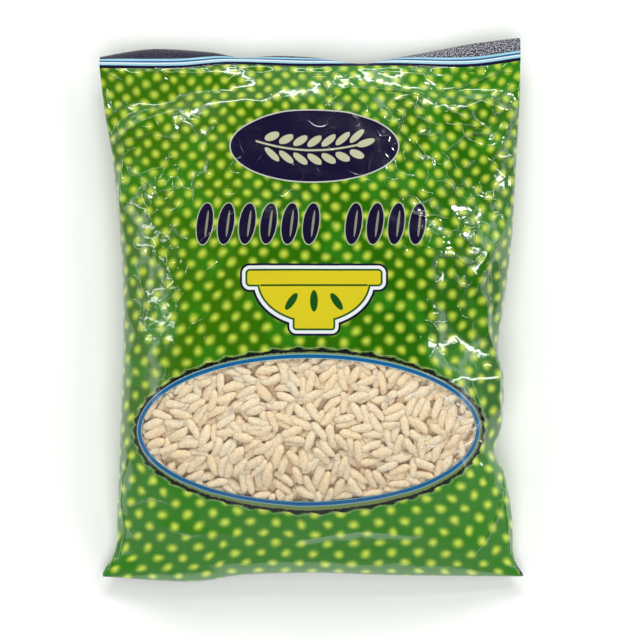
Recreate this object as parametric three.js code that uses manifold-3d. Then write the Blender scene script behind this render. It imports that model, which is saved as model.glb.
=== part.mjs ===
// A sealed pillow pouch of puffed rice, lying on its back.
//
// Millimetres, +Z up. The front panel faces +Z and the top seal points to +Y.
// The origin is on the surface that the pouch lies on, under the middle of its outline.
//
//   pouch        the filled film bag: domed front, flat belly, a thin wavy top seal that
//                droops backwards, pinched bottom corners, a back fin seal, and an oval
//                pocket where the film is clear
//   puffed_rice  the grains that show in that oval: a core with whole grains on it

import * as THREE from 'three';
import { ParametricGeometry } from 'three/addons/geometries/ParametricGeometry.js';
import { mergeVertices } from 'three/addons/utils/BufferGeometryUtils.js';
import Module from 'manifold-3d';

const wasm = await Module();
wasm.setup();

// ---- Driving dimensions ----------------------------------------------------------------

const filmHalf = 0.5;          // half of the seal's thickness
const sealBand = 12;           // length of the crimped band at the top
const foldedBand = 12;         // length of the bottom seal, folded flat under the bag
const foldedThickness = 0.9;
const sealHeight = 18;         // height of the seal line above the table
const sideHeight = 20;         // height of the widest line round the bag
const bottomHeight = 6;        // height of the bottom fold
const frontRise = 30;          // how far the front domes above the widest line
const backDrop = 26;           // how far the back would hang below it, before the table flattens it
const fullestAt = 0.38;        // where the bag is fullest, as a share from the bottom fold to the seal
const finWidth = 13;           // the back's fin seal, pressed flat and flush with the belly
const finGroove = 0.5;         // width and depth of the line along each of its edges

// The outline seen from the front. Each row is [along, across]: its place and the edge there.
const leftEdge = [
  [-128, -97.8], [-124, -98.2], [-113, -92.3], [-99, -91.4], [-59, -89.6],
  [7, -88.2], [66, -92.4], [92, -96.6], [118, -99.7],
];
const rightEdge = [
  [-128, 99.4], [-125, 99.7], [-117, 96.2], [-98, 95.1], [-76, 90.8], [-68, 86.6], [-54, 90],
  [-33, 90.8], [-20, 88], [1, 90.8], [32, 94.7], [59, 96.3], [92, 98.2], [118, 98.9],
];
const bottomEdge = [
  [-98, -126], [-61, -128.4], [-47, -127.6], [-34, -125.3], [3, -124.3], [38, -125.4], [99, -125.9],
];
const sealLine = [
  [-99.7, 114.2], [-62, 114.2], [-38, 116], [0, 115], [40, 115.4], [75, 114.9], [99, 118],
];
const sealTop = [
  [-99.7, 119.2], [-85, 122.1], [-72, 123.3], [-47, 121.7], [-33, 119.1], [-16, 120], [2, 119],
  [24, 115.9], [38, 118.5], [71, 124.8], [97, 128.4],
];

const windowOval = { x: -0.75, y: -55.8, halfWidth: 78, halfHeight: 33.4 };
const pocketDepth = 8;
const gap = 0.3;               // between the pocket's wall and the rice

const grain = { length: 11.4, width: 4.3, thickness: 3.7, spread: 0.14 };
const grainDepth = 2.3;        // of a grain's axis below the film
const grainUneven = 0.35;      // how much that varies
const coreDepth = 3.4;         // of the packed rice that the grains sit on
const grainTries = 9000;
const closeness = 0.88;        // how near two grains may lie, as a share of their width

const girthSteps = 52;
const bodyRows = 36;
const sealRows = [0.5, 0.97, 1]; // shares of the band

// ---- Small helpers ---------------------------------------------------------------------

const mix = (a, b, share) => a + (b - a) * share;
const clamp01 = (value) => Math.min(1, Math.max(0, value));
const smoothstep = (from, to, value) => {
  const t = clamp01((value - from) / (to - from));
  return t * t * (3 - 2 * t);
};

// A smooth curve through [place, value] points, with the slopes of a Catmull-Rom spline.
function along(points, place) {
  const last = points.length - 1;
  const at = Math.min(points[last][0], Math.max(points[0][0], place));
  let i = 0;
  while (i < last - 1 && at > points[i + 1][0]) i++;
  const slope = (k) => {
    const [x0, y0] = points[Math.max(0, k - 1)];
    const [x1, y1] = points[Math.min(last, k + 1)];
    return (y1 - y0) / (x1 - x0);
  };
  const [x0, y0] = points[i];
  const [x1, y1] = points[i + 1];
  const span = x1 - x0;
  const t = (at - x0) / span;
  const t2 = t * t;
  const t3 = t2 * t;
  return (
    (2 * t3 - 3 * t2 + 1) * y0 + (t3 - 2 * t2 + t) * span * slope(i) +
    (3 * t2 - 2 * t3) * y1 + (t3 - t2) * span * slope(i + 1)
  );
}

// The Park-Miller generator, so that every run lays the grains alike.
function seededRandom(seed) {
  let state = seed;
  return () => {
    state = (state * 16807) % 2147483647;
    return state / 2147483647;
  };
}

// ---- The bag's form --------------------------------------------------------------------

// share runs from 0 at the bottom fold to 1 at the seal line.
const rowHeight = (share) => mix(bottomEdge[0][1], sealLine[0][1], share);

function rowSpan(share) {
  const left = along(leftEdge, rowHeight(share));
  const right = along(rightEdge, rowHeight(share));
  return { middle: (left + right) / 2, half: (right - left) / 2 };
}

// How full the bag is along its length: blunt at the bottom, tapering to the seal.
function fullness(share) {
  const below = share < fullestAt;
  const off = Math.abs(share - fullestAt) / (below ? fullestAt : 1 - fullestAt);
  return Math.pow(1 - Math.pow(off, below ? 2.4 : 2), below ? 0.5 : 0.8);
}

// The dome across the bag, from 1 in the middle to 0 at its sides.
function dome(across, share) {
  const squareness = mix(1.9, 2.5, smoothstep(0, 0.25, share) * smoothstep(1, 0.6, share));
  return Math.sqrt(Math.max(0, 1 - Math.pow(Math.abs(across), squareness)));
}

// The seal isn't flat: it waves up and down across the bag.
const sealWave = (x) => 1.6 * Math.sin(x / 17 + 0.6) + 1.1 * Math.sin(x / 9.5);

// Height of the sheet that the front and the back meet in.
function middleHeight(x, share) {
  const towardsSeal = smoothstep(0.5, 1, share);
  const towardsFold = smoothstep(0.3, 0, share);
  return (
    sideHeight +
    towardsSeal * (sealHeight + sealWave(x) - sideHeight) +
    towardsFold * (bottomHeight - sideHeight)
  );
}

// The film's thickness, closing to nothing at the sides.
const rim = (across, half) => filmHalf * Math.min(1, ((1 - Math.abs(across)) * half) / filmHalf);

function bodyPoint(across, share, front, target) {
  const { middle, half } = rowSpan(share);
  const x = middle + half * across;
  const y = mix(along(bottomEdge, x), along(sealLine, x), share);
  const z = middleHeight(x, share);
  const thin = share > 0 ? rim(across, half) : 0;
  const full = fullness(share) * dome(across, share);
  if (front) return target.set(x, y, z + Math.max(frontRise * full, thin));
  const fromFold = y - along(bottomEdge, x);
  const folded = smoothstep(foldedBand + 1.5, foldedBand - 1.5, fromFold) * (thin / filmHalf);
  const drop = Math.max(backDrop * full, thin) + foldedThickness * folded;
  return target.set(x, y, Math.max(0, z - drop));
}

// The band leans back, so it shows shorter than it is and drops by the rest of its length.
function sealPoint(across, share, front, target) {
  const { middle, half } = rowSpan(1);
  const x = middle + half * across;
  const low = along(sealLine, x);
  const shown = along(sealTop, x) - low;
  const drop = Math.sqrt(Math.max(0, sealBand ** 2 - shown ** 2));
  const closed = share === 1 ? 0 : rim(across, half);
  const z = middleHeight(x, 1) - drop * Math.pow(share, 1.3);
  return target.set(x, low + shown * share, z + (front ? closed : -closed));
}

// girth goes once round the bag from its right side over the back, length from the bottom
// fold to the seal's free edge. Front and back meet in both ends, so the surface is closed.
function pouchSurface(girth, length, target) {
  const angle = (1 - girth) * Math.PI * 2;
  const front = angle < Math.PI;
  const across = Math.cos(angle);
  const row = length * (bodyRows + sealRows.length);
  if (row > bodyRows + 0.5) {
    return sealPoint(across, sealRows[Math.round(row - bodyRows) - 1], front, target);
  }
  return bodyPoint(across, (1 - Math.cos((row / bodyRows) * Math.PI)) / 2, front, target);
}

function frontHeight(x, y) {
  const low = along(bottomEdge, x);
  const share = clamp01((y - low) / (along(sealLine, x) - low));
  const { middle, half } = rowSpan(share);
  const across = THREE.MathUtils.clamp((x - middle) / half, -1, 1);
  return middleHeight(x, share) + frontRise * fullness(share) * dome(across, share);
}

// ---- Solids ----------------------------------------------------------------------------

function toSolid(geometry) {
  const bare = geometry.clone();
  bare.deleteAttribute('normal');
  bare.deleteAttribute('uv');
  const merged = mergeVertices(bare, 1e-3);
  return new wasm.Manifold(new wasm.Mesh({
    numProp: 3,
    vertProperties: new Float32Array(merged.attributes.position.array),
    triVerts: new Uint32Array(merged.index.array),
  }));
}

function toGeometry(solid) {
  const { vertProperties, triVerts } = solid.getMesh();
  const geometry = new THREE.BufferGeometry();
  geometry.setAttribute('position', new THREE.BufferAttribute(vertProperties, 3));
  geometry.setIndex(new THREE.BufferAttribute(triVerts, 1));
  geometry.computeVertexNormals();
  return geometry;
}

// The largest closed surface of a solid, which fills the sealed pockets inside it.
function outerSkin(solid) {
  const shells = toSolid(toGeometry(solid)).decompose();
  return shells.reduce((most, one) => (one.volume() > most.volume() ? one : most));
}

// A plug of the window's oval, between two depths below the front film.
function windowPlug(inset, upperDepth, lowerDepth) {
  const rings = [0, 0.4, 0.7, 0.88, 1, 1, 0.88, 0.7, 0.4, 0];
  const surface = (turn, rise, target) => {
    const ring = Math.round(rise * (rings.length - 1));
    const angle = turn * Math.PI * 2;
    const x = windowOval.x + rings[ring] * (windowOval.halfWidth - inset) * Math.cos(angle);
    const y = windowOval.y + rings[ring] * (windowOval.halfHeight - inset) * Math.sin(angle);
    const depth = ring < rings.length / 2 ? lowerDepth : upperDepth;
    return target.set(x, y, frontHeight(x, y) - depth);
  };
  return toSolid(new ParametricGeometry(surface, 56, rings.length - 1));
}

// Grains dropped at random over the oval where they don't cover one already there.
function scatter() {
  const random = seededRandom(200);
  const placed = [];
  for (let i = 0; i < grainTries; i++) {
    const scale = 1 + grain.spread * (random() * 2 - 1);
    const angle = random() * Math.PI;
    const across = random() * 2 - 1;
    const up = random() * 2 - 1;
    if (Math.hypot(across, up) > 1) continue;
    const x = windowOval.x + across * windowOval.halfWidth;
    const y = windowOval.y + up * windowOval.halfHeight;
    const reach = (grain.length * scale - grain.width) / 2;
    const discs = [-1, 0, 1].map((end) => [
      x + end * reach * Math.cos(angle),
      y + end * reach * Math.sin(angle),
    ]);
    const covers = placed.some((other) => other.discs.some((a) => discs.some((b) =>
      Math.hypot(a[0] - b[0], a[1] - b[1]) < grain.width * closeness)));
    if (covers) continue;
    const depth = grainDepth + grainUneven * (random() * 2 - 1);
    placed.push({ x, y, angle, scale, discs, depth, roll: random() });
  }
  return placed;
}

// A grain lies along the film above it: a spindle with few sides.
function grainSolid({ x, y, angle, scale, depth, roll }) {
  const step = 0.5;
  const slopeX = (frontHeight(x + step, y) - frontHeight(x - step, y)) / (2 * step);
  const slopeY = (frontHeight(x, y + step) - frontHeight(x, y - step)) / (2 * step);
  const up = new THREE.Vector3(-slopeX, -slopeY, 1).normalize();
  const lengthwise = new THREE.Vector3(Math.cos(angle), Math.sin(angle), 0);
  lengthwise.addScaledVector(up, -lengthwise.dot(up)).normalize();
  const sideways = new THREE.Vector3().crossVectors(lengthwise, up);
  const place = new THREE.Matrix4().makeBasis(sideways, lengthwise, up);
  place.setPosition(x, y, frontHeight(x, y) - depth / up.z);
  const geometry = new THREE.SphereGeometry(1, 6, 4);
  geometry.rotateY(roll * Math.PI);
  geometry.scale((grain.width / 2) * scale, (grain.length / 2) * scale, grain.thickness / 2);
  geometry.applyMatrix4(place);
  return toSolid(geometry);
}

function finGrooves() {
  const length = rowHeight(1) - rowHeight(0);
  return [-1, 1].map((side) => {
    const groove = new THREE.BoxGeometry(finGroove, length, 2 * finGroove);
    groove.translate((side * finWidth) / 2, (rowHeight(1) + rowHeight(0)) / 2, 0);
    return toSolid(groove);
  });
}

function pouchSolid() {
  const skin = new ParametricGeometry(pouchSurface, girthSteps, bodyRows + sealRows.length);
  const open = toSolid(skin).subtract(windowPlug(0, -grain.length, pocketDepth));
  return finGrooves().reduce((cut, groove) => cut.subtract(groove), open);
}

function riceSolid() {
  const core = windowPlug(gap, coreDepth, pocketDepth - gap);
  const heap = scatter().map(grainSolid).reduce((joined, one) => joined.add(one), core);
  const trimmed = heap.intersect(windowPlug(gap, 0.1, pocketDepth - gap));
  return outerSkin(trimmed.simplify(0.03));
}

// ---- The group -------------------------------------------------------------------------

function namedMesh(name, solid, material) {
  const mesh = new THREE.Mesh(toGeometry(solid), new THREE.MeshStandardMaterial(material));
  mesh.name = name;
  return mesh;
}

const pack = new THREE.Group();
pack.add(namedMesh('pouch', pouchSolid(), { color: 0x3f9a35, roughness: 0.25, metalness: 0 }));
pack.add(namedMesh('puffed_rice', riceSolid(), { color: 0xe6d0aa, roughness: 0.8, metalness: 0 }));

export default pack;
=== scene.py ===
import math
import random

import bmesh
import bpy
import numpy as np
from mathutils import Matrix, Vector, noise


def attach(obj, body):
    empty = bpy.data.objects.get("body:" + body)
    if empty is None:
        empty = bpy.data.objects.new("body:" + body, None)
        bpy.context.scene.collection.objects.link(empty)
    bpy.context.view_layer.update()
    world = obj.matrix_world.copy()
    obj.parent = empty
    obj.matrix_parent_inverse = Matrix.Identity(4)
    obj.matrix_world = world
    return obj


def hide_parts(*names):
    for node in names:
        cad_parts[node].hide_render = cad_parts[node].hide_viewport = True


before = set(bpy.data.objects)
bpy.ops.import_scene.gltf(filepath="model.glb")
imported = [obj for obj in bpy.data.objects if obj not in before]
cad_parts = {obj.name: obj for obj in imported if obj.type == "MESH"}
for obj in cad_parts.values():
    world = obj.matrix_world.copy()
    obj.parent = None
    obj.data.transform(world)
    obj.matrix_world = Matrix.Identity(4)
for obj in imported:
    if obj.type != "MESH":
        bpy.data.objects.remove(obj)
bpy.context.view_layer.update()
mm = 0.001

# The camera looks straight down on the bag, which lies with the shown side up.
viewSetup = {
    "height": 2.2,
    "planeHeight": 0.02,          # the outline's height, where the picture is this wide:
    "pictureWidth": 0.3008,
    "centre": (0.0044, -0.0046),  # a little right of the bag's middle, and below it
    "sensor": 36.0,
    "farthest": 20.0,
}


def makeCamera(setup):
    data = bpy.data.cameras.new("camera")
    reach = setup["height"] - setup["planeHeight"]
    data.sensor_width = setup["sensor"]
    data.lens = setup["sensor"] * reach / setup["pictureWidth"]
    data.clip_end = setup["farthest"]
    data.dof.use_dof = False
    camera = bpy.data.objects.new("camera", data)
    camera.location = (*setup["centre"], setup["height"])
    bpy.context.scene.collection.objects.link(camera)
    bpy.context.scene.camera = camera


makeCamera(viewSetup)
bpy.context.scene.view_settings.view_transform = "Standard"
print("camera ready")

# The bag's form, in millimetres: the same curves as the solid's. A point of an edge is [along, across].
bag = {
    "leftEdge": [[-128, -97.8], [-124, -98.2], [-113, -92.3], [-99, -91.4], [-59, -89.6],
                 [7, -88.2], [66, -92.4], [92, -96.6], [118, -99.7]],
    "rightEdge": [[-128, 99.4], [-125, 99.7], [-117, 96.2], [-98, 95.1], [-76, 90.8],
                  [-68, 86.6], [-54, 90], [-33, 90.8], [-20, 88], [1, 90.8], [32, 94.7],
                  [59, 96.3], [92, 98.2], [118, 98.9]],
    "bottomEdge": [[-98, -126], [-61, -128.4], [-47, -127.6], [-34, -125.3], [3, -124.3],
                   [38, -125.4], [99, -125.9]],
    "sealLine": [[-99.7, 114.2], [-62, 114.2], [-38, 116], [0, 115], [40, 115.4],
                 [75, 114.9], [99, 118]],
    "sealTop": [[-99.7, 119.2], [-85, 122.1], [-72, 123.3], [-47, 121.7], [-33, 119.1],
                [-16, 120], [2, 119], [24, 115.9], [38, 118.5], [71, 124.8], [97, 128.4]],
    "sealBand": 12.0,
    "sealHeight": 18.0,
    "sideHeight": 20.0,
    "bottomHeight": 6.0,
    "frontRise": 30.0,
    "backDrop": 26.0,
    "fullestAt": 0.38,
    "foldFall": (2.4, 0.5),       # the powers by which the bag thins towards its bottom fold
    "sealFall": (2, 0.8),         # and towards its seal
    "squareness": (1.9, 0.6),     # a cross-section's, at the ends and what the middle adds
    "frontLowest": 1.2,
    "bellyHeight": 0.7,           # the back film's height above the table, over its fin seal
    "sealFilm": 0.15,             # half of the seal's thickness
}
window = {"x": -0.75, "y": -55.8, "halfWidth": 78.0, "halfHeight": 33.4, "chords": 132}


def curveThrough(points, place):
    # A smooth curve through the points, level past its ends.
    at = np.clip(np.asarray(place, float), points[0][0], points[-1][0])
    px = np.array([p[0] for p in points], float)
    py = np.array([p[1] for p in points], float)
    before = np.maximum(np.arange(len(px)) - 1, 0)
    after = np.minimum(np.arange(len(px)) + 1, len(px) - 1)
    slope = (py[after] - py[before]) / (px[after] - px[before])
    i = np.clip(np.searchsorted(px, at, side="left") - 1, 0, len(px) - 2)
    span = px[i + 1] - px[i]
    t = (at - px[i]) / span
    t2 = t * t
    t3 = t2 * t
    start = (2 * t3 - 3 * t2 + 1) * py[i] + (t3 - 2 * t2 + t) * span * slope[i]
    return start + (3 * t2 - 2 * t3) * py[i + 1] + (t3 - t2) * span * slope[i + 1]


def smooth(low, high, value):
    t = np.clip((np.asarray(value, float) - low) / (high - low), 0, 1)
    return t * t * (3 - 2 * t)


def rowSpan(share):
    # The middle and half width of a row of the body.
    height = bag["bottomEdge"][0][1] + share * (bag["sealLine"][0][1] - bag["bottomEdge"][0][1])
    left = curveThrough(bag["leftEdge"], height)
    right = curveThrough(bag["rightEdge"], height)
    return (left + right) / 2, (right - left) / 2


def shareAt(x, y):
    # How far up the body a place is, with its row's middle and half width.
    low = curveThrough(bag["bottomEdge"], x)
    share = np.clip((y - low) / (curveThrough(bag["sealLine"], x) - low), 0, 1)
    return share, *rowSpan(share)


def fullness(share):
    below = share < bag["fullestAt"]
    reach = np.where(below, bag["fullestAt"], 1 - bag["fullestAt"])
    off = np.clip(np.abs(share - bag["fullestAt"]) / reach, 0, 1)
    inner, outer = bag["foldFall"]
    innerUp, outerUp = bag["sealFall"]
    return np.where(below, (1 - off ** inner) ** outer, (1 - off ** innerUp) ** outerUp)


def dome(across, share):
    atEnds, more = bag["squareness"]
    squareness = atEnds + more * smooth(0, 0.25, share) * smooth(1, 0.6, share)
    return np.sqrt(np.clip(1 - np.abs(across) ** squareness, 0, 1))


def middleHeight(x, share):
    wave = 1.6 * np.sin(x / 17 + 0.6) + 1.1 * np.sin(x / 9.5)
    towardsSeal = smooth(0.5, 1, share)
    towardsFold = smooth(0.3, 0, share)
    return (bag["sideHeight"] + towardsSeal * (bag["sealHeight"] + wave - bag["sideHeight"])
            + towardsFold * (bag["bottomHeight"] - bag["sideHeight"]))


def bodySurface(across, share, front):
    middle, half = rowSpan(share)
    x = middle + half * across
    low = curveThrough(bag["bottomEdge"], x)
    y = low + share * (curveThrough(bag["sealLine"], x) - low)
    z = middleHeight(x, share)
    full = fullness(share) * dome(across, share)
    rim = np.minimum(bag["sealFilm"], (1 - np.abs(across)) * half) * (share > 0)
    top = z + np.maximum(bag["frontRise"] * full, rim)
    under = np.maximum(bag["bellyHeight"], z - np.maximum(bag["backDrop"] * full, rim))
    return np.stack([x, y, np.where(front, top, under)], axis=-1)


# How much of the seal's width is seen from above when it has bent through each angle.
bendAngle = np.linspace(math.pi / 2, 0.05, 60)
bendShown = np.sin(bendAngle) / bendAngle


def sealSurface(across, share, front):
    middle, half = rowSpan(np.ones_like(across))
    x = middle + half * across
    low = curveThrough(bag["sealLine"], x)
    shown = curveThrough(bag["sealTop"], x) - low
    # it bends back evenly, through up to a right angle, and hangs straight from there
    bent = np.interp(shown / bag["sealBand"], bendShown, bendAngle)
    radius = np.where(shown < bendShown[0] * bag["sealBand"], shown, bag["sealBand"] / bent)
    run = share * bag["sealBand"]
    turn = np.minimum(run / radius, bent)
    down = radius * (1 - np.cos(turn)) + (run - turn * radius)
    rim = np.minimum(bag["sealFilm"], (1 - np.abs(across)) * half) * (share < 1)
    z = middleHeight(x, np.ones_like(x)) - down
    return np.stack([x, low + radius * np.sin(turn), z + np.where(front, rim, -rim)], axis=-1)


# The film is a net: one sheet round the bag, from fold to free edge.
net = {"front": 270, "back": 68, "body": 286, "seal": 12}
columns = net["front"] + net["back"]
rows = net["body"] + net["seal"]

# The front's columns are even in the middle and closer together towards the sides.
evenly = np.linspace(-1, 1, 1201)
acrossOf = 1.25 * (evenly - evenly ** 5 / 5)


def columnAngle(c):
    half = net["back"] / 2
    ends = [0, half, half + net["front"], columns]
    turn = np.interp(c, ends, [-math.pi, -math.pi / 2, math.pi / 2, math.pi])
    across = np.interp(c - half, (evenly + 1) / 2 * net["front"], acrossOf)
    onFront = (c >= half) & (c <= half + net["front"])
    return np.where(onFront, np.arcsin(np.clip(across, -1, 1)), turn)


def rowShare(r):
    # The rows crowd a little towards the fold and the seal.
    t = np.clip(np.asarray(r, float) / net["body"], 0, 1)
    return 0.28 * t + 0.72 * (1 - np.cos(math.pi * t)) / 2


def rowOfShare(share):
    r = np.arange(net["body"] + 1)
    return np.interp(share, rowShare(r), r)


def restNet():
    # The film before it is creased, and where each of its points is on the bag.
    angle = columnAngle(np.arange(columns + 1))
    across = np.broadcast_to(np.sin(angle), (rows + 1, columns + 1))
    front = np.broadcast_to(np.cos(angle) > -1e-9, across.shape)
    body = np.broadcast_to(rowShare(np.arange(rows + 1))[:, None], across.shape)
    band = np.clip((np.arange(rows + 1) - net["body"]) / net["seal"], 0, 1)
    band = np.broadcast_to(band[:, None], across.shape)
    onBody = bodySurface(across, body, front)
    onSeal = sealSurface(across, band, front)
    isSeal = (np.arange(rows + 1) > net["body"])[:, None, None]
    return np.where(isSeal, onSeal, onBody), across, front, body, band


def netNormals(points):
    normal = np.cross(np.gradient(points, axis=1), np.gradient(points, axis=0))
    size = np.linalg.norm(normal, axis=-1, keepdims=True)
    return normal / np.maximum(size, 1e-9)


def flatCoordinates(points):
    # Where each point is on the flat film: from the bag's middle line and from its seal line.
    across = np.linalg.norm(np.diff(points, axis=1), axis=-1)
    a = np.concatenate([np.zeros((rows + 1, 1)), np.cumsum(across, axis=1)], axis=1)
    a = a - a[:, columns // 2][:, None]
    along = np.linalg.norm(np.diff(points, axis=0), axis=-1)
    b = np.concatenate([np.zeros((1, columns + 1)), np.cumsum(along, axis=0)], axis=0)
    b = b - b[net["body"]][None, :]
    return np.stack([a, b], axis=-1)


picture = {"scale": 0.47, "x": 310.6, "y": 310.25}      # millimetres a pixel, and the bag's middle


def fromPicture(u, v):
    return (u - picture["x"]) * picture["scale"], (picture["y"] - v) * picture["scale"]


# Each is its height, its width and the line it runs along, the last in the picture's pixels.
creases = {
    "upper left": [
        (3.0, 3.4, [(113, 142), (129, 132), (144, 122), (168, 112), (186, 106)]),
        (-1.6, 5.0, [(104, 134), (124, 116), (150, 106), (176, 98)]),
        (0.55, 0.9, [(135, 71), (168, 72), (210, 73)]),
        (-0.5, 0.9, [(140, 77), (180, 76), (212, 78)]),
        (0.7, 0.8, [(105, 70), (113, 76), (122, 80)]),
        (0.9, 1.1, [(177, 122), (190, 127), (198, 137)]),
        (0.7, 0.8, [(129, 142), (142, 139), (155, 133)]),
        (0.6, 0.8, [(157, 137), (170, 139), (180, 139)]),
        (0.7, 0.9, [(160, 193), (173, 191), (184, 188)]),
        (0.7, 0.9, [(130, 167), (143, 180), (156, 191)]),
    ],
    "top middle": [
        (1.1, 1.3, [(320, 81), (326, 89), (331, 97)]),
        (1.0, 0.9, [(339, 90), (361, 89), (392, 90), (416, 94), (404, 99), (392, 103)]),
        (1.0, 1.0, [(429, 95), (453, 89), (476, 81), (504, 71), (513, 72)]),
        (0.8, 0.8, [(493, 99), (504, 94), (514, 86)]),
        (0.9, 1.0, [(404, 110), (401, 122), (398, 135)]),
        (0.6, 0.9, [(300, 78), (318, 74), (345, 76)]),
    ],
    "upper right": [
        (1.2, 1.6, [(415, 118), (425, 123), (438, 126)]),
        (1.3, 1.8, [(416, 135), (430, 137), (441, 134)]),
        (1.2, 1.4, [(446, 152), (455, 146), (462, 140), (472, 135), (487, 135), (490, 127)]),
        (0.8, 1.0, [(447, 111), (456, 115), (465, 119)]),
        (0.8, 0.8, [(472, 112), (473, 119), (480, 126)]),
        (1.0, 0.9, [(516, 106), (514, 113), (511, 120), (505, 143), (497, 154), (489, 164)]),
        (0.8, 1.0, [(491, 110), (493, 116), (501, 112)]),
        (0.7, 0.8, [(463, 169), (469, 165), (474, 161)]),
        (0.8, 0.9, [(436, 182), (446, 183), (452, 188), (455, 195)]),
        (0.8, 1.0, [(471, 194), (472, 205), (477, 213)]),
        (0.6, 0.7, [(456, 216), (469, 215), (475, 209)]),
        (1.0, 1.2, [(462, 179), (463, 185), (459, 189)]),
    ],
    "middle right": [
        (1.1, 0.9, [(433, 284), (431, 272), (433, 261), (437, 257), (454, 257), (466, 265),
                    (474, 262), (481, 254)]),
        (1.5, 2.6, [(424, 284), (431, 282), (437, 285)]),
        (1.0, 0.9, [(453, 275), (456, 282), (460, 286), (466, 288), (470, 283)]),
        (0.7, 0.7, [(424, 231), (436, 236), (448, 234), (458, 230)]),
        (1.0, 1.2, [(460, 237), (465, 241), (472, 247)]),
        (1.8, 2.6, [(501, 232), (493, 250), (484, 268), (477, 290), (483, 300), (486, 318),
                    (485, 333), (497, 363), (497, 403), (502, 428)]),
        (-1.3, 3.2, [(490, 262), (493, 285), (493, 310), (492, 330)]),
        (0.8, 1.1, [(497, 236), (488, 260), (478, 284), (472, 296)]),
        (0.7, 1.0, [(489, 272), (491, 290), (492, 304)]),
        (0.8, 1.1, [(480, 290), (486, 306), (485, 322), (488, 338), (494, 350), (500, 370),
                    (502, 382), (498, 394)]),
        (0.8, 0.9, [(418, 205), (426, 203), (432, 199)]),
    ],
    "left": [
        (1.6, 2.4, [(124, 150), (122, 190), (120, 240), (123, 300), (122, 360), (120, 410)]),
        (1.1, 1.6, [(124, 440), (129, 456), (126, 468), (120, 480)]),
        (1.0, 1.3, [(148, 213), (150, 217), (152, 221)]),
        (1.0, 1.2, [(149, 251), (151, 256)]),
        (0.8, 1.0, [(199, 185), (203, 189)]),
        (1.2, 1.6, [(159, 337), (166, 339)]),
        (0.7, 1.1, [(140, 280), (146, 300), (143, 322)]),
        (0.6, 0.9, [(172, 226), (180, 236), (190, 240)]),
        (0.8, 1.2, [(124, 466), (121, 500), (124, 530), (118, 558)]),
    ],
    "window's right end": [
        (1.2, 1.1, [(470, 380), (484, 420), (478, 425), (466, 432), (452, 441)]),
        (0.8, 0.9, [(430, 390), (445, 398), (458, 404), (470, 415)]),
        (0.7, 0.9, [(441, 401), (448, 412), (462, 418), (474, 421)]),
        (0.7, 0.9, [(398, 443), (416, 448), (436, 444), (452, 441)]),
        (0.6, 0.8, [(398, 396), (412, 392), (426, 395)]),
        (0.7, 0.9, [(440, 470), (450, 455), (462, 446), (475, 438)]),
        (0.6, 1.0, [(420, 372), (438, 380), (452, 385)]),
    ],
    "bottom": [
        (0.9, 2.2, [(150, 520), (190, 531), (240, 534)]),
        (0.9, 2.4, [(300, 540), (360, 530), (430, 535)]),
        (0.8, 1.6, [(118, 540), (112, 556), (108, 572)]),
        (0.8, 1.2, [(506, 486), (500, 512), (488, 536), (472, 556)]),
        (0.7, 1.1, [(503, 470), (507, 500), (508, 530), (511, 556)]),
        (0.7, 1.8, [(130, 505), (150, 498), (175, 502)]),
    ],
}

# The creases up to this width are thin: the material draws their crests, and the mesh has a low,
# wider swelling under each.
thin = {"width": 2, "rise": 0.35, "least": 1.3, "reach": 4}

# Each is a soft dent or swelling: its place and reach in the picture's pixels, and its height.
hollows = [
    (150, 98, 44, 15, -4.5),
    (205, 88, 40, 10, -2.0),
    (180, 150, 40, 24, 1.6),
    (265, 100, 35, 16, 1.4),
    (470, 88, 40, 12, -2.2),
    (450, 110, 40, 16, 1.5),
    (470, 180, 24, 34, -1.2),
    (455, 330, 22, 34, -1.4),
    (150, 300, 14, 60, -1.2),
    (330, 545, 90, 12, -1.5),
    (160, 525, 40, 16, 1.4),
    (470, 545, 40, 14, 1.2),
]


def dents(x, y):
    height = np.zeros(x.shape)
    for u, v, across, along, rise in hollows:
        cx, cy = fromPicture(u, v)
        across *= picture["scale"]
        along *= picture["scale"]
        height += rise * np.exp(-((x - cx) / across) ** 2 - ((y - cy) / along) ** 2)
    return height


def distanceToLine(x, y, line):
    # How far from the line, how far along it and on which side.
    best = np.full(x.shape, 1e9)
    place = np.zeros(x.shape)
    side = np.ones(x.shape)
    run = 0.0
    for (x0, y0), (x1, y1) in zip(line[:-1], line[1:]):
        dx, dy = x1 - x0, y1 - y0
        size = math.hypot(dx, dy)
        t = np.clip(((x - x0) * dx + (y - y0) * dy) / size ** 2, 0, 1)
        away = np.hypot(x - x0 - t * dx, y - y0 - t * dy)
        closer = away < best
        best = np.where(closer, away, best)
        place = np.where(closer, run + t * size, place)
        side = np.where(closer, np.where((x - x0) * dy > (y - y0) * dx, 1, -1), side)
        run += size
    return best, np.clip(place / run, 0, 1), side


def creaseShapes(x, y):
    # Each crease's height and width, and how far each point is from it and along it.
    for group in creases.values():
        for rise, width, line in group:
            yield rise, width, *distanceToLine(x, y, [fromPicture(*p) for p in line])


def namedCreases(x, y):
    height = np.zeros(x.shape)
    for rise, width, away, place, _ in creaseShapes(x, y):
        ends = 0.35 + 0.65 * np.sin(math.pi * place) ** 0.5
        if width <= thin["width"]:
            rise *= thin["rise"]
            width = max(width, thin["least"])
        height += rise * ends * np.exp(-away / width)
    return height


def crestLines(x, y):
    # For the thin crests: the signed distance to the nearest and how high it is. A distance
    # reads well between the net's points.
    nearest = np.full(x.shape, 1e9)
    signed = np.zeros(x.shape)
    height = np.zeros(x.shape)
    for rise, width, away, place, side in creaseShapes(x, y):
        if width > thin["width"] or rise < 0:
            continue
        closer = away < nearest
        nearest = np.where(closer, away, nearest)
        signed = np.where(closer, away * side, signed)
        crest = min(rise, 1.0) * np.sin(math.pi * place) ** 0.6
        height = np.where(closer, crest * (away < thin["reach"]), height)
    return np.stack([signed, height], axis=-1)


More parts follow.
